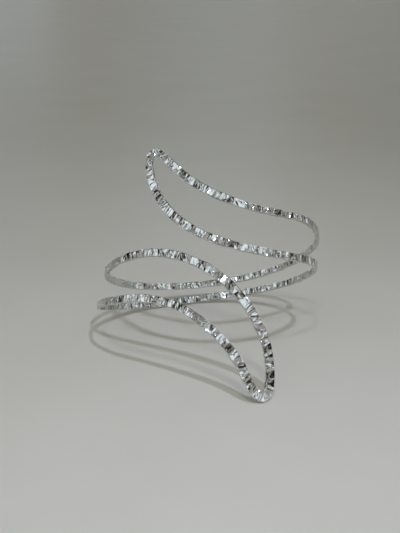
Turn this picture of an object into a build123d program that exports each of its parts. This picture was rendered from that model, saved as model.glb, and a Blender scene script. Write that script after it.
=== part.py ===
from build123d import *
import math
import os

# Upper-arm cuff: one closed loop of flat hammered silver strip.
# The loop runs round the arm a little over once as two strands, one above the
# other. They spread into a leaf-shaped opening at each end, where the loop
# turns back on itself in a rounded point.
# Lengths are in millimetres and angles in degrees. +Z is up, -Y is the front.

# Sizes of the coil that the strip is bent to, measured along its own axis
COIL_RADIUS = 39.0        # plain radius of the coil, to the middle of the strip
COIL_RISE = 86.0          # rise from the lowest station to the highest
FACING = -4.4             # turns the cuff, once it lies down, to face the front

# Sizes of the strip
STRIP_WIDTH = 3.0         # usual width, between two edges
STRIP_THICKNESS = 1.1     # where the strip has its usual width
EDGE_BEVEL = 0.22         # the hammered edge's soft corner

# Hammer marks
MARK_PITCH = 2.1          # usual length of one mark along the strip
MARK_TURN = 15.0          # usual turn of the strip within one mark, at a tip
MARK_STRAY = 0.45         # most that a mark is longer or shorter than usual, as a share
MARK_SLANT = 0.50         # how far a border runs askew at the strip's edges
MARK_SWAY = 0.36          # most that the beaten strip zigzags, from border to border
MARK_DEPTH = 0.14         # rise and fall of each face by itself
EDGE_WAVE = 0.22          # rise and fall of the strip's width
PATTERN = 95              # which irregular pattern of marks is struck

# Stations that the strip is drawn towards, in order: along the upper strand
# from the upper tip to the lower tip, then back along the lower strand.
#   turn   angle about the coil's axis, from +X
#   rise   share of COIL_RISE
#   swell  share of COIL_RADIUS
#   width  share of STRIP_WIDTH
STATIONS = (
    # turn, rise, swell, width
    (-125, 1.00, 0.95, 1.00),    # upper tip
    (-119, 0.96, 0.95, 1.03),
    (-104, 0.84, 0.97, 1.00),
    (-71, 0.74, 1.02, 0.86),     # upper leaf, in front
    (-34, 0.78, 1.07, 0.82),
    (-1, 0.74, 1.10, 0.82),      # right side
    (34, 0.70, 1.08, 0.82),
    (67, 0.65, 1.07, 0.88),
    (102, 0.60, 1.07, 0.93),     # back
    (136, 0.56, 1.06, 0.96),
    (172, 0.54, 1.04, 0.95),     # left side
    (207, 0.55, 1.03, 0.92),
    (243, 0.58, 1.07, 0.93),
    (276, 0.48, 1.08, 1.06),     # lower leaf, in front
    (298, 0.26, 1.05, 1.14),
    (305, 0.07, 0.97, 1.18),
    (300, 0.00, 0.98, 1.16),     # lower tip
    (289, 0.06, 1.00, 1.12),
    (285, 0.17, 1.01, 1.10),
    (254, 0.38, 1.03, 0.90),     # lower leaf, in front
    (220, 0.39, 1.04, 0.90),
    (183, 0.40, 1.08, 0.92),     # left side
    (153, 0.44, 1.12, 0.95),
    (118, 0.50, 1.08, 0.98),     # back
    (84, 0.56, 1.02, 0.98),
    (48, 0.59, 1.02, 0.84),
    (11, 0.61, 1.04, 0.84),      # right side
    (-22, 0.61, 1.10, 0.90),
    (-56, 0.57, 1.11, 0.86),
    (-94, 0.60, 1.05, 0.96),     # upper leaf, in front
    (-119, 0.74, 1.01, 1.05),
    (-130, 0.96, 1.00, 1.00),
)
STEPS = 60                # points that the smooth curve gets for each station


def station_point(turn, rise, swell):
    """A station's place in space, with the coil's axis upright."""
    return Vector(COIL_RADIUS * swell, 0, COIL_RISE * rise).rotate(Axis.Z, turn)


def smooth_loop(stations):
    """Points, or numbers, along a closed smooth curve that is drawn towards the stations."""
    count = len(stations)
    points = []
    for i in range(count):
        before, start, end, after = (stations[(i + k) % count] for k in (-1, 0, 1, 2))
        for step in range(STEPS):
            t = step / STEPS
            points.append(
                before * ((1 - t) ** 3 / 6)
                + start * ((3 * t**3 - 6 * t**2 + 4) / 6)
                + end * ((-3 * t**3 + 3 * t**2 + 3 * t + 1) / 6)
                + after * (t**3 / 6)
            )
    return points


def centre_of_loop(curve):
    """Where the closed strip balances. Every millimetre of it holds as much metal."""
    total, weighted = 0.0, Vector(0, 0, 0)
    for here, there in zip(curve, curve[1:] + curve[:1]):
        span = (there - here).length
        total += span
        weighted += (here + there) * (span / 2)
    return weighted * (1 / total)


def chance(number, kind):
    """A fixed irregular value from -1 to 1 for each mark."""
    value = math.sin((number + 1.37 * PATTERN) * 12.9898 + kind * 78.233) * 43758.5453
    return 2 * (value - math.floor(value)) - 1


def mark_borders(curve, widths):
    """Where one hammer mark ends and the next begins, all round the loop.

    Each border is a point on the curve, the strip's direction there, how
    sharply it bends, in radians a millimetre, and the strip's share of its
    usual width. Marks are shorter at the tips.
    """
    count = len(curve)
    ways = [(curve[(i + 1) % count] - curve[i - 1]).normalized() for i in range(count)]
    spans = [(curve[(i + 1) % count] - curve[i]).length for i in range(count)]
    bends = [math.radians(ways[i].get_angle(ways[(i + 1) % count])) for i in range(count)]
    loads = [
        max(span / MARK_PITCH, bend / math.radians(MARK_TURN)) for span, bend in zip(spans, bends)
    ]
    marks = round(sum(loads))
    shares = [1 + MARK_STRAY * chance(number, 1) for number in range(marks)]
    borders = []
    i, passed, goal = 0, 0.0, 0.0
    for number in range(marks):
        while passed + loads[i] < goal:
            passed += loads[i]
            i += 1
        share = (goal - passed) / loads[i]
        there = (i + 1) % count
        point = curve[i] * (1 - share) + curve[there] * share
        way = (ways[i] * (1 - share) + ways[there] * share).normalized()
        near = [k % count for k in range(i - 2, i + 3)]
        sharpness = sum(bends[k] for k in near) / sum(spans[k] for k in near)
        borders.append((point, way, sharpness, widths[i]))
        goal += shares[number] * sum(loads) / sum(shares)
    return borders


def border_ring(number, point, way, sharpness, share):
    """The strip's eight corners at a mark's border, with its flat side out."""
    out = Vector(point.X, point.Y, 0).normalized()
    out = (out - way * out.dot(way)).normalized()
    across = way.cross(out)
    # the hammering fades where the strip turns back within its own width
    strength = max(0.0, 1 - sharpness * STRIP_WIDTH)
    skew = MARK_SLANT * chance(number, 2) * strength
    half = STRIP_WIDTH / 2 * share + EDGE_WAVE / 2 * chance(number, 3) * strength
    # the strip is thinner where it is beaten wider
    face = STRIP_THICKNESS / 2 / share
    # borders stand out and in by turns, each by more or less of the whole sway
    sway = MARK_SWAY / 2 * (-1) ** number * (2 + chance(number, 12)) / 3 * strength

    def corner(side, width, height):
        return point + way * (skew * side) + across * (width * side) + out * (sway + height)

    ring = []
    for side in (1, -1):
        outer = face + MARK_DEPTH / 2 * chance(number, 4 + side)
        inner = -face + MARK_DEPTH / 2 * chance(number, 7 + side)
        half_ring = [
            corner(side, half - EDGE_BEVEL, outer),
            corner(side, half, outer - EDGE_BEVEL),
            corner(side, half, inner + EDGE_BEVEL),
            corner(side, half - EDGE_BEVEL, inner),
        ]
        ring += half_ring if side == 1 else half_ring[::-1]
    return ring


def tip_over(points, middle, feet):
    """Tip the cuff about its feet, towards its middle, until a point touches the table.

    Returns the points, the middle and the number of the point that touches.
    """
    foot = points[feet[0]]
    if len(feet) == 1:
        fall = middle - foot
    else:
        along = points[feet[1]] - foot
        fall = Vector(-along.Y, along.X, 0)
        if fall.dot(middle - foot) < 0:
            fall = -fall
    fall = Vector(fall.X, fall.Y, 0).normalized()
    lifts = {}
    for i, point in enumerate(points):
        reach = (point - foot).dot(fall)
        if i not in feet and reach > 0:
            lifts[i] = math.degrees(math.atan2(point.Z - foot.Z, reach))
    touching = min(lifts, key=lifts.get)
    hinge = Axis((0, 0, 0), Vector(-fall.Y, fall.X, 0))
    tipped = [foot + (p - foot).rotate(hinge, lifts[touching]) for p in points + [middle]]
    return tipped[:-1], tipped[-1], touching


def lay_down(points, middle):
    """Turn the upright cuff until it lies on three feet with its middle between them."""
    feet = [min(range(len(points)), key=lambda i: points[i].Z)]
    resting = False
    while not resting:
        points, middle, touching = tip_over(points, middle, feet)
        feet.append(touching)
        if len(feet) == 3:
            shares = []
            for k in range(3):
                opposite, a, b = (points[feet[(k + j) % 3]] for j in range(3))
                edge = Vector(a.Y - b.Y, b.X - a.X, 0)
                shares.append((middle - a).dot(edge) / (opposite - a).dot(edge))
            resting = min(shares) >= 0
            if not resting:
                # it tips on over the edge that the middle lies beyond
                feet.pop(shares.index(min(shares)))
    return points


def face_front(points):
    """Turn the lying cuff to the front and centre it over the origin, on the table."""
    points = [p.rotate(Axis.Z, FACING) for p in points]
    low = Vector(min(p.X for p in points), min(p.Y for p in points), min(p.Z for p in points))
    high = Vector(max(p.X for p in points), max(p.Y for p in points), low.Z)
    return [p - (low + high) * 0.5 for p in points]


def skin_triangles(rings, ring_size):
    """Two flat facets for each side of each mark, as corner numbers.

    The facets' diagonal changes at random from mark to mark.
    """
    triangles = []
    for number in range(rings):
        here = number * ring_size
        there = (number + 1) % rings * ring_size
        for k in range(ring_size):
            after = (k + 1) % ring_size
            a, b, c, d = here + k, here + after, there + after, there + k
            if chance(number, 20 + k // 4) > 0:
                triangles += [(a, c, b), (a, d, c)]
            else:
                triangles += [(a, d, b), (b, d, c)]
    return triangles


curve = smooth_loop([station_point(*row[:3]) for row in STATIONS])
widths = smooth_loop([row[3] for row in STATIONS])
borders = mark_borders(curve, widths)
rings = [border_ring(number, *border) for number, border in enumerate(borders)]
corners = [corner for ring in rings for corner in ring]
corners = face_front(lay_down(corners, centre_of_loop(curve)))

with BuildPart() as cuff_band:
    facets = [
        Face(Wire.make_polygon([corners[i] for i in triangle], close=True))
        for triangle in skin_triangles(len(rings), len(rings[0]))
    ]
    add(Solid(Shell(facets)))

cuff_band.part.label = "cuff_band"
os.makedirs("parts", exist_ok=True)
export_step(cuff_band.part, "parts/cuff_band.step")
print("marks", len(rings), "facets", len(facets), "volume", round(cuff_band.part.volume, 1))
print(cuff_band.part.bounding_box())
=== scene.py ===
"""Blender scene for the hammered upper-arm cuff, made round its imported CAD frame.

The cuff is one closed loop of flat silver strip. The strip is drawn again here
with every hammer blow as real relief, along the same path as the CAD solid.
"""
import math
import random

import bpy
import numpy as np
from mathutils import Matrix, Vector


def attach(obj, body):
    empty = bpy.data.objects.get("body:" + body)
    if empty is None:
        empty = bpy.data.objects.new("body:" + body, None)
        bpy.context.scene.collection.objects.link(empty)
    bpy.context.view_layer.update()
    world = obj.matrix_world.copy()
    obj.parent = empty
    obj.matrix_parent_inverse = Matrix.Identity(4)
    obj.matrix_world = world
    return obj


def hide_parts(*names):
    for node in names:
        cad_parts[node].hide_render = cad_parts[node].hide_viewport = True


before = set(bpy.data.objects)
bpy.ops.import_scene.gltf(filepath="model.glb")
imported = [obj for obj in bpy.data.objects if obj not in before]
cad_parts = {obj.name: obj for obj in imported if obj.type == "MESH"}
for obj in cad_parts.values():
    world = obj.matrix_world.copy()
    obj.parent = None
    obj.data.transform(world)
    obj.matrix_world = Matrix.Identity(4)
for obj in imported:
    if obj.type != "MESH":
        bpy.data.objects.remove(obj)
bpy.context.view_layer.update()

# The cuff's sizes are in millimetres, those of the floor and lamps in metres, and
# all angles in degrees.
MM = 0.001
NODE = "cuff_band"

# The strip's path, with the same sizes as in the CAD part
COIL_RADIUS = 39.0
COIL_RISE = 86.0
STATIONS = (
    # turn about the coil's axis, share of COIL_RISE, of COIL_RADIUS and of STRIP_WIDTH
    (-125, 1.00, 0.95, 1.00),    # upper tip
    (-119, 0.96, 0.95, 1.03),
    (-104, 0.84, 0.97, 1.00),
    (-71, 0.74, 1.02, 0.86),     # upper leaf, in front
    (-34, 0.78, 1.07, 0.82),
    (-1, 0.74, 1.10, 0.82),      # right side
    (34, 0.70, 1.08, 0.82),
    (67, 0.65, 1.07, 0.88),
    (102, 0.60, 1.07, 0.93),     # back
    (136, 0.56, 1.06, 0.96),
    (172, 0.54, 1.04, 0.95),     # left side
    (207, 0.55, 1.03, 0.92),
    (243, 0.58, 1.07, 0.93),
    (276, 0.48, 1.08, 1.06),     # lower leaf, in front
    (298, 0.26, 1.05, 1.14),
    (305, 0.07, 0.97, 1.18),
    (300, 0.00, 0.98, 1.16),     # lower tip
    (289, 0.06, 1.00, 1.12),
    (285, 0.17, 1.01, 1.10),
    (254, 0.38, 1.03, 0.90),     # lower leaf, in front
    (220, 0.39, 1.04, 0.90),
    (183, 0.40, 1.08, 0.92),     # left side
    (153, 0.44, 1.12, 0.95),
    (118, 0.50, 1.08, 0.98),     # back
    (84, 0.56, 1.02, 0.98),
    (48, 0.59, 1.02, 0.84),
    (11, 0.61, 1.04, 0.84),      # right side
    (-22, 0.61, 1.10, 0.90),
    (-56, 0.57, 1.11, 0.86),
    (-94, 0.60, 1.05, 0.96),     # upper leaf, in front
    (-119, 0.74, 1.01, 1.05),
    (-130, 0.96, 1.00, 1.00),
)
STEPS = 60                     # points that the smooth curve gets for each station

# How the coil lies on the table, as in the CAD part: it is turned about its own
# axis, leant back, turned to the front, and its axis meets rise 0 at COIL_FOOT.
COIL_TURN = 6.316
COIL_LEAN = -32.928
COIL_HEADING = -5.359
COIL_FOOT = (-2.508, -16.927, -16.733)

# The strip's section and its hammer marks, as in the CAD part
STRIP_WIDTH = 3.0              # usual width, between two edges
STRIP_THICKNESS = 1.1          # where the strip has its usual width
EDGE_BEVEL = 0.22              # the hammered edge's soft corner
MARK_PITCH = 2.1               # usual length of one mark along the strip
MARK_TURN = 15.0               # usual turn of the strip within one mark, at a tip
MARK_STRAY = 0.45              # most that a mark is longer or shorter than usual, as a share
MARK_SLANT = 0.50              # how far a border runs askew at the strip's edges
MARK_SWAY = 0.36               # most that the beaten strip zigzags, from border to border
MARK_DEPTH = 0.14              # rise and fall of each face by itself
EDGE_WAVE = 0.22               # rise and fall of the strip's width
PATTERN = 95                   # which irregular pattern of marks is struck

# What each mark of the real strip has beyond the CAD part
RINGS = (0, 0.06, 0.14, 0.24, 0.35, 0.46, 0.57, 0.68, 0.80, 0.92)   # shares of its length
RIBS = (0, 0, -1, 0.5, 0.5, -1, 0.5, 0.5, -1, 0)                    # the hammer's own ribs there
RIB_HEIGHT = 0.013             # of the most ribbed mark
RIB_START = -0.3               # a mark is ribbed if its chance is over this
FACE_POINTS = 11               # points across the flat side
STEEP = 0.30                   # share of a mark that a steep facet takes beside a flat one
WEDGE = 0.7                    # how much wider than that it may be at one edge, as a share
EVEN = 0.15                    # share of the marks that have no steep facet
TIP_SWAY = 0.8                 # share of the sway that is left where the strip turns back
HOLLOW = 0.03                  # how far a mark's middle may lie under or over its corners
TIP_HOLLOW = 0.3               # share of the hollow that is left where the strip turns back
EDGE_ROUND = 0.29              # share of the bevel that the rounded edge's middle is set in
CREASE = 12.0                  # a bend sharper than this stays a crisp crease

# Small blows, which fall all over each side
BLOW_PITCH = (0.5, 2.2)        # from one to the next along the strip
BLOW_REACH = 1.5               # how far from the strip's middle they fall
BLOW_SLANT = 30                # how far they usually slant
BLOW_TIGHT = (4.5, 11.0)       # radius that they leave along the strip
BLOW_WIDE = (8.0, 30.0)        # radius that they leave across it
BLOW_SINK = 0.03               # most that one is struck deeper than another
BLOW_SPAN = 4                  # how far along the strip one is followed
BLOW_RELIEF = 0.020            # most that the struck surface rises or sinks
UNSTRUCK = 9.0                 # its height before any blow, above all hollows


def path_points():
    """Points along the closed curve that is drawn towards the stations, each with its width."""
    turn, rise, swell, width = np.array(STATIONS, float).T
    turn = np.radians(turn)
    reach = COIL_RADIUS * swell
    stations = (reach * np.cos(turn), reach * np.sin(turn), COIL_RISE * rise, width)
    stations = np.stack(stations, axis=1)
    before, start, end, after = (np.roll(stations, k, axis=0)[:, None] for k in (1, 0, -1, -2))
    t = (np.arange(STEPS) / STEPS)[None, :, None]
    points = (
        before * (1 - t) ** 3
        + start * (3 * t**3 - 6 * t**2 + 4)
        + end * (-3 * t**3 + 3 * t**2 + 3 * t + 1)
        + after * t**3
    ) / 6
    return points.reshape(-1, 4)


def unit(vectors):
    return vectors / np.linalg.norm(vectors, axis=-1, keepdims=True)


def chance(number, kind):
    """The CAD part's fixed irregular value from -1 to 1 for each mark.

    kind says what the value is for. Kinds up to 21 are the CAD part's own.
    """
    value = np.sin((number + 1.37 * PATTERN) * 12.9898 + kind * 78.233) * 43758.5453
    return 2 * (value - np.floor(value)) - 1


def along_loop(values, places):
    """Values of a closed row at places that count its members."""
    here = np.floor(places).astype(int)
    share = (places - here).reshape(-1, *[1] * (values.ndim - 1))
    return values[here % len(values)] * (1 - share) + values[(here + 1) % len(values)] * share


def mark_borders(curve):
    """Where each hammer mark begins, as a place on the curve, and how strongly it is struck.

    The strip's direction at each point of the curve comes with it. Marks are
    shorter at the tips, and fade where the strip turns back within its width.
    """
    ways = unit(np.roll(curve, -1, axis=0) - np.roll(curve, 1, axis=0))
    spans = np.linalg.norm(np.roll(curve, -1, axis=0) - curve, axis=1)
    bends = 2 * np.arcsin(np.linalg.norm(np.roll(ways, -1, axis=0) - ways, axis=1) / 2)
    loads = np.maximum(spans / MARK_PITCH, bends / math.radians(MARK_TURN))
    marks = round(loads.sum())
    shares = 1 + MARK_STRAY * chance(np.arange(marks), 1)
    goals = np.concatenate(([0], np.cumsum(shares)[:-1])) * loads.sum() / shares.sum()
    places = np.interp(goals, np.concatenate(([0], np.cumsum(loads))), np.arange(len(curve) + 1))
    near = range(-2, 3)
    sharpness = sum(np.roll(bends, k) for k in near) / sum(np.roll(spans, k) for k in near)
    strength = np.maximum(0, 1 - sharpness * STRIP_WIDTH)[places.astype(int)]
    return places, strength, ways


def facets(left, right, t, v, diagonal):
    """Heights over marks whose four corners are given: each mark is two flat facets.

    left and right hold each border's height at v = 0 and v = 1. t runs from
    one border to the next. diagonal says which way the crease between them runs.
    """
    a, b = left[:, None, None], right[:, None, None]
    c, d = np.roll(left, -1)[:, None, None], np.roll(right, -1)[:, None, None]
    rising = np.where(v <= t, a + (c - a) * t + (d - c) * v, a + (b - a) * v + (d - b) * t)
    near, far = a + (c - a) * t + (b - a) * v, d + (c - d) * (1 - v) + (b - d) * (1 - t)
    falling = np.where(t + v <= 1, near, far)
    return np.where(diagonal[:, None, None], rising, falling)


def small_blows(places, across, length, seed):
    """Finer relief of one side: small blows leave shallow hollows, and ridges stay between."""
    dice = random.Random(seed)
    height = np.full(across.shape, UNSTRUCK)
    s = 0.0
    while s < length:
        w = dice.uniform(-BLOW_REACH, BLOW_REACH)
        slant = math.radians(dice.gauss(0, BLOW_SLANT))
        tight = dice.uniform(*BLOW_TIGHT)
        wide = dice.uniform(*BLOW_WIDE)
        sunk = dice.uniform(0.0, BLOW_SINK)
        ds = (places - s + length / 2) % length - length / 2
        near = np.abs(ds) < BLOW_SPAN
        ds = ds[near][:, None]
        dw = across[near] - w
        a = ds * math.cos(slant) + dw * math.sin(slant)
        b = dw * math.cos(slant) - ds * math.sin(slant)
        height[near] = np.minimum(height[near], a**2 / (2 * tight) + b**2 / (2 * wide) - sunk)
        s += dice.uniform(*BLOW_PITCH)
    height -= np.median(height)
    return BLOW_RELIEF * np.tanh(height / BLOW_RELIEF)


def rounded_edge(reach, sign, top, bottom):
    """Rows of points round one edge of the strip, from its top side to its bottom side."""
    rows = []
    for inset, drop in ((EDGE_ROUND, EDGE_ROUND), (0.0, 1.0)):
        rows.append((sign * (reach - EDGE_BEVEL * inset), top - EDGE_BEVEL * drop))
    for inset, drop in ((0.0, 1.0), (EDGE_ROUND, EDGE_ROUND)):
        rows.append((sign * (reach - EDGE_BEVEL * inset), bottom + EDGE_BEVEL * drop))
    return rows


def laid_down(points):
    """Points of the upright coil, moved to where the CAD solid lies on the table."""
    lie = (
        Matrix.Rotation(math.radians(COIL_HEADING), 3, "Z")
        @ Matrix.Rotation(math.radians(COIL_LEAN), 3, "X")
        @ Matrix.Rotation(math.radians(COIL_TURN), 3, "Z")
    )
    points = points.reshape(-1, 3) @ np.array(lie).T + COIL_FOOT
    points[:, 2] = np.maximum(points[:, 2], 0)          # nothing sinks into the table
    return points


def tube_mesh(points, run, girth):
    """A closed tube of four-sided faces, in metres, through rings of points in millimetres.

    run and girth say how far each ring lies along the strip and each of its
    points round the section, and how long both are in all. The texture has
    them as u and v, in millimetres.
    """
    rings, around = len(run) - 1, len(girth) - 1
    ring, k = np.meshgrid(np.arange(rings), np.arange(around), indexing="ij")
    after, there = (k + 1) % around, (ring + 1) % rings
    corners = ((ring, k), (there, k), (there, after), (ring, after))
    faces = np.stack([r * around + point for r, point in corners], axis=-1)
    mesh = bpy.data.meshes.new("hammered_band")
    mesh.from_pydata((points * MM).tolist(), [], faces.reshape(-1, 4).tolist())

    u = np.stack((run[ring], run[ring + 1], run[ring + 1], run[ring]), axis=-1)
    v = np.stack((girth[k], girth[k], girth[k + 1], girth[k + 1]), axis=-1)
    layer = mesh.uv_layers.new(name="strip")
    layer.data.foreach_set("uv", np.stack((u, v), axis=-1).ravel())
    mesh.polygons.foreach_set("use_smooth", [True] * len(mesh.polygons))
    mesh.update()
    mesh.set_sharp_from_angle(angle=math.radians(CREASE))
    return mesh


def strip_mesh():
    """The whole hammered strip as one closed mesh, where the CAD solid is."""
    curve = path_points()
    width_shares, curve = curve[:, 3], curve[:, :3]
    starts, strength, ways = mark_borders(curve)
    number = np.arange(len(starts))
    width_share = width_shares[starts.astype(int)]
    skew = MARK_SLANT * chance(number, 2) * strength
    half = STRIP_WIDTH / 2 * width_share + EDGE_WAVE / 2 * chance(number, 3) * strength
    thick = STRIP_THICKNESS / width_share
    sway = MARK_SWAY / 2 * (-1.0) ** number * (2 + chance(number, 12)) / 3
    sway = sway * np.maximum(strength, TIP_SWAY)
    share = np.array(RINGS)[None, :]

    def within(values):
        """Each mark's border values, blended towards the next mark's at every ring."""
        return (values[:, None] * (1 - share) + np.roll(values, -1)[:, None] * share).ravel()

    # each ring's place on the curve, and the directions along, out of and across the strip
    ends = np.append(starts[1:], starts[0] + len(curve))
    rings = (starts[:, None] * (1 - share) + ends[:, None] * share).ravel()
    centre = along_loop(curve, rings)
    way = unit(along_loop(ways, rings))
    out = unit(centre * (1, 1, 0))
    out = unit(out - way * np.sum(out * way, axis=1, keepdims=True))
    side = np.cross(way, out)
    steps = np.linalg.norm(np.roll(centre, -1, axis=0) - centre, axis=1)
    length = steps.sum()
    places = np.concatenate(([0], np.cumsum(steps)[:-1]))

    q = np.linspace(-1, 1, FACE_POINTS)[None, :]
    reach = within(half)
    across = q * (reach[:, None] - EDGE_BEVEL)

    # most marks are a long flat facet and a short steep one, wider at one edge, in either order
    steep = STEEP * (1 + WEDGE * chance(number, 61)[:, None] * q)[:, None]
    lead = chance(number, 60)[:, None, None]
    early = np.clip(share[:, :, None] / steep, 0, 1)
    late = np.clip((share[:, :, None] - 1 + steep) / steep, 0, 1)
    climb = np.where(lead > EVEN, early, np.where(lead < -EVEN, late, share[:, :, None]))

    def face(base, kind, crease, seed):
        """Height of one flat side at every point, out from the strip's middle."""
        left, right = (base + sway + MARK_DEPTH / 2 * chance(number, kind + s) for s in (-1, 1))
        height = facets(left, right, climb, (q[None] + 1) / 2, crease)
        belly = HOLLOW * chance(number, kind + 30) * (TIP_HOLLOW + (1 - TIP_HOLLOW) * strength)
        ribs = chance(number, kind + 40) - RIB_START
        ribs = RIB_HEIGHT * np.maximum(0, ribs) / (1 - RIB_START)
        height = height + belly[:, None, None] * (4 * share * (1 - share))[:, :, None]
        height = height + ribs[:, None, None] * np.array(RIBS)[None, :, None]
        blows = small_blows(places, across, length, seed)
        return height.reshape(-1, FACE_POINTS) + np.sign(base[0]) * blows

    outer = face(thick / 2, kind=4, crease=chance(number, 21) > 0, seed=11)
    inner = face(-thick / 2, kind=7, crease=chance(number, 20) <= 0, seed=12)

    rows = [(across[:, k], outer[:, k]) for k in range(FACE_POINTS)]
    rows += rounded_edge(reach, 1, outer[:, -1], inner[:, -1])
    rows += [(across[:, k], inner[:, k]) for k in reversed(range(FACE_POINTS))]
    rows += rounded_edge(reach, -1, outer[:, 0], inner[:, 0])[::-1]
    widths = np.stack([row[0] for row in rows], axis=1)[:, :, None]
    heights = np.stack([row[1] for row in rows], axis=1)[:, :, None]
    askew = within(skew)[:, None, None] * widths / reach[:, None, None]
    points = centre[:, None] + way[:, None] * askew
    points = points + side[:, None] * widths + out[:, None] * heights

    mean_width, mean_height = (values.mean(axis=0)[:, 0] for values in (widths, heights))
    girth = np.cumsum(np.hypot(np.diff(mean_width), np.diff(mean_height)))
    girth = np.concatenate(([0], girth, [girth[-1] + EDGE_BEVEL]))
    return tube_mesh(laid_down(points), np.append(places, length), girth)


class Nodes:
    """Short calls for adding and joining shader nodes."""

    def __init__(self, tree):
        self.tree = tree

    def add(self, kind, inputs=None, **settings):
        node = self.tree.nodes.new(kind)
        for key, value in settings.items():
            setattr(node, key, value)
        for key, value in (inputs or {}).items():
            if isinstance(value, bpy.types.NodeSocket):
                self.tree.links.new(value, node.inputs[key])
            else:
                node.inputs[key].default_value = value
        return node

    def stretched(self, vector, scale, turn=0.0):
        """A place whose axes are scaled and then turned about the third, in radians."""
        inputs = {"Vector": vector, "Rotation": (0, 0, turn), "Scale": scale}
        return self.add("ShaderNodeMapping", inputs).outputs[0]

    def noise(self, vector, scale=1.0, detail=2.0, roughness=0.5):
        inputs = {"Vector": vector, "Scale": scale, "Detail": detail, "Roughness": roughness}
        return self.add("ShaderNodeTexNoise", inputs).outputs["Fac"]

    def between(self, value, low, high, to_low=0.0, to_high=1.0):
        """to_low while the value is below low, to_high above high, and a straight rise between."""
        inputs = {"Value": value, 1: low, 2: high, 3: to_low, 4: to_high}
        return self.add("ShaderNodeMapRange", inputs).outputs["Result"]

    def math(self, operation, a, b=0.0):
        return self.add("ShaderNodeMath", {0: a, 1: b}, operation=operation).outputs[0]

    def colour(self, share, low, high):
        """A colour between two. Inputs 6 and 7 and output 2 are the node's own for colours."""
        node = self.add("ShaderNodeMix", {"Factor": share}, data_type="RGBA")
        for key, value in ((6, low), (7, high)):
            node.inputs[key].default_value = (*value, 1)
        return node.outputs[2]


# Silver. Scales of tarnish and wear go by the metre, and the others by the millimetre along
# the strip and round it.
CLEAN = (0.72, 0.72, 0.71)
TARNISHED = (0.54, 0.53, 0.505)
TARNISH_SCALE = 160            # of the patches of tarnish
WEAR_SCALE = 900               # of the patches where it is worn duller
ROUGHNESS = (0.04, 0.11)       # where it is least and most worn
LINE_SCALE = (1.5, 0.22, 1)    # of the lines that the hammer's face leaves across the strip
PATCH_SCALE = (0.35, 0.2, 1)   # of the patches that have such lines
SCRATCH_SCALE = (0.9, 9.0, 1)
SCRATCH_TURN = 0.3
SCRATCH_DEPTH = 0.06           # as a share of the lines' depth
LINE_DEPTH = 0.00003           # in metres

# Floor
FLOOR_TONES = ((0.545, 0.515, 0.442), (0.575, 0.545, 0.472))
CLOUD_SCALE = 14               # of the faint clouds in its tone


def new_material(name):
    material = bpy.data.materials.new(name)
    material.use_nodes = True
    material.node_tree.nodes.clear()
    nodes = Nodes(material.node_tree)
    shader = nodes.add("ShaderNodeBsdfPrincipled")
    nodes.add("ShaderNodeOutputMaterial", {"Surface": shader.outputs["BSDF"]})
    return material, nodes, shader


def silver():
    """Polished silver: bright metal with hammer lines, fine scratches and a little tarnish."""
    material, nodes, shader = new_material("polished_silver")
    strip = nodes.add("ShaderNodeUVMap", uv_map="strip").outputs["UV"]
    place = nodes.add("ShaderNodeTexCoord").outputs["Object"]

    tarnish = nodes.noise(place, TARNISH_SCALE, detail=4, roughness=0.6)
    tone = nodes.colour(nodes.between(tarnish, low=0.35, high=0.7), CLEAN, TARNISHED)
    wear = nodes.noise(place, WEAR_SCALE, detail=3, roughness=0.6)
    rough = nodes.between(wear, 0.3, 0.7, *ROUGHNESS)

    # the lines are in some of the marks only, the scratches everywhere
    lines = nodes.noise(nodes.stretched(strip, LINE_SCALE), detail=2, roughness=0.6)
    patches = nodes.noise(nodes.stretched(strip, PATCH_SCALE), detail=1)
    lines = nodes.math("MULTIPLY", lines, nodes.between(patches, low=0.45, high=0.6))
    scratch_place = nodes.stretched(strip, SCRATCH_SCALE, SCRATCH_TURN)
    scratches = nodes.noise(scratch_place, detail=3, roughness=0.7)
    relief = nodes.math("ADD", lines, nodes.math("MULTIPLY", scratches, SCRATCH_DEPTH))
    bump = nodes.add("ShaderNodeBump", {"Height": relief, "Strength": 1.0, "Distance": LINE_DEPTH})
    nodes.tree.links.new(tone, shader.inputs["Base Color"])
    nodes.tree.links.new(rough, shader.inputs["Roughness"])
    nodes.tree.links.new(bump.outputs["Normal"], shader.inputs["Normal"])
    shader.inputs["Metallic"].default_value = 1.0
    return material


def satin_table():
    """Pale satin floor with a barely clouded tone."""
    material, nodes, shader = new_material("pale_floor")
    place = nodes.add("ShaderNodeTexCoord").outputs["Object"]
    cloud = nodes.noise(place, CLOUD_SCALE, detail=4, roughness=0.55)
    tone = nodes.colour(nodes.between(cloud, low=0.3, high=0.7), *FLOOR_TONES)
    nodes.tree.links.new(tone, shader.inputs["Base Color"])
    shader.inputs["Roughness"].default_value = 0.34
    shader.inputs["Specular IOR Level"].default_value = 0.35
    return material


# The cuff
band = bpy.data.objects.new("hammered_band", strip_mesh())
bpy.context.scene.collection.objects.link(band)
band.data.materials.append(silver())
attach(band, "root")
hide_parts(NODE)

# The floor
bpy.ops.mesh.primitive_circle_add(vertices=96, radius=4.0, fill_type="NGON")
floor = bpy.context.object
floor.name = "floor"
floor.data.materials.append(satin_table())


def direction(azimuth, elevation):
    """A unit vector: azimuth from +X towards +Y, elevation up from the table."""
    azimuth, elevation = math.radians(azimuth), math.radians(elevation)
    level = math.cos(elevation)
    return Vector((level * math.cos(azimuth), level * math.sin(azimuth), math.sin(elevation)))


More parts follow.
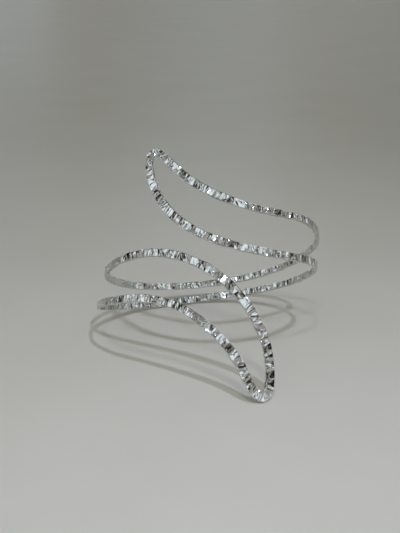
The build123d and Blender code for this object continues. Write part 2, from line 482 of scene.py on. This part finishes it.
LIGHTS = (
    # name, azimuth, elevation, distance, size, spread, watts, colour
    ("key", -57, 66, 0.9, 0.028, 52, 0.235, (0.84, 0.95, 1.22)),
    ("second", -100, 66, 0.9, 0.04, 52, 0.062, (0.84, 0.95, 1.22)),
    ("broad", -90, 60, 0.9, 0.35, 45, 0.105, (1.0, 0.95, 0.84)),
)
LIT_PLACE = Vector((0, -0.12, 0))      # the lights are aimed at the table in front of the cuff
for name, azimuth, elevation, distance, size, spread, watts, tint in LIGHTS:
    lamp = bpy.data.lights.new(name, "AREA")
    lamp.shape = "SQUARE"
    lamp.size = size
    lamp.spread = math.radians(spread)
    lamp.energy = watts
    lamp.color = tint
    holder = bpy.data.objects.new(name, lamp)
    towards = direction(azimuth, elevation)
    holder.location = LIT_PLACE + towards * distance
    holder.rotation_euler = towards.to_track_quat("Z", "Y").to_euler()
    holder.visible_glossy = name != "broad"      # the broad light leaves no streak in the metal
    bpy.context.scene.collection.objects.link(holder)


# The room round the cuff, whose light follows a pattern: the sum of two waves round it
ROOM_WAVES = (
    # turns round the room, slope with height, start
    (16, -10.94, 5.026),
    (-10, -12.607, 2.015),
)
ROOM_LIGHT = 0.416             # plain strength
ROOM_FACTORS = (
    # what it goes by, from where, to where, and the factor below and above
    ("pattern", -1.28, -1.03, 0.04, 1.0),      # dark gaps
    ("pattern", -1.0, 1.0, 0.55, 1.45),        # soft shade and light between them
    ("pattern", 0.595, 0.845, 1.0, 1.89),      # pale panels
    ("height", 0.88, 0.95, 1.0, 0.3),          # darker straight overhead
    ("depth", 0.2, 0.4, 1.0, 0.7),             # darker behind the cuff
)
ROOM_TINTS = ((1.06, 0.99, 0.90), (0.91, 1.02, 1.09))      # where it is dark and where pale
ROOM_TINT_RANGE = (0.5, 1.8)   # how many times the plain strength dark and pale are
PLAIN_GREY = (0.42, 0.41, 0.39, 1)


def studio_world():
    """Soft grey room with pale panels and dark gaps. The camera itself sees plain grey."""
    world = bpy.data.worlds.new("studio")
    world.use_nodes = True
    world.node_tree.nodes.clear()
    nodes = Nodes(world.node_tree)
    view = nodes.add("ShaderNodeTexCoord").outputs["Generated"]
    parts = nodes.add("ShaderNodeSeparateXYZ", {0: view}).outputs
    heading = nodes.math("ARCTAN2", parts["Y"], parts["X"])
    waves = []
    for turns, slope, start in ROOM_WAVES:
        round_room = nodes.math("MULTIPLY", heading, turns)
        phase = nodes.math("ADD", round_room, nodes.math("MULTIPLY", parts["Z"], slope))
        waves.append(nodes.math("SINE", nodes.math("ADD", phase, start)))
    measures = {"pattern": nodes.math("ADD", *waves), "height": parts["Z"], "depth": parts["Y"]}
    strength = ROOM_LIGHT
    for measure, *limits_and_factors in ROOM_FACTORS:
        factor = nodes.between(measures[measure], *limits_and_factors)
        strength = nodes.math("MULTIPLY", factor, strength)
    paleness = nodes.between(strength, *(ROOM_LIGHT * limit for limit in ROOM_TINT_RANGE))
    tone = nodes.colour(paleness, *ROOM_TINTS)
    mirrored = nodes.add("ShaderNodeBackground", {"Color": tone, "Strength": strength})
    plain = nodes.add("ShaderNodeBackground", {"Color": PLAIN_GREY, "Strength": 1.0})
    eye = nodes.add("ShaderNodeLightPath").outputs["Is Camera Ray"]
    seen = nodes.add("ShaderNodeMixShader", {0: eye, 1: mirrored.outputs[0], 2: plain.outputs[0]})
    nodes.add("ShaderNodeOutputWorld", {"Surface": seen.outputs[0]})
    return world


bpy.context.scene.world = studio_world()
bpy.context.scene.view_settings.view_transform = "Standard"

# The camera stands where the photograph was taken from
CAMERA_PLACE = (-3.82, -305.18, 143.72)
CAMERA_YAW = 0.109             # to the right of straight ahead
CAMERA_DOWN = 20.259
CAMERA_ROLL = -0.076
PHOTO_FOCAL = 898.3            # in the photo's pixels
PHOTO_HEIGHT = 533

lens = bpy.data.cameras.new("photo_camera")
lens.lens = PHOTO_FOCAL / PHOTO_HEIGHT * lens.sensor_width
lens.clip_start = 0.01
camera = bpy.data.objects.new("photo_camera", lens)
bpy.context.scene.collection.objects.link(camera)
yaw, down, roll = (math.radians(angle) for angle in (CAMERA_YAW, CAMERA_DOWN, CAMERA_ROLL))
ahead = Vector((math.sin(yaw) * math.cos(down), math.cos(yaw) * math.cos(down), -math.sin(down)))
level = Vector((math.cos(yaw), -math.sin(yaw), 0))
upward = level.cross(ahead)
right = level * math.cos(roll) + upward * math.sin(roll)
upward = right.cross(ahead)
turned = Matrix((right, upward, -ahead)).transposed().to_4x4()
camera.matrix_world = Matrix.Translation(Vector(CAMERA_PLACE) * MM) @ turned
bpy.context.scene.camera = camera

bpy.context.view_layer.update()
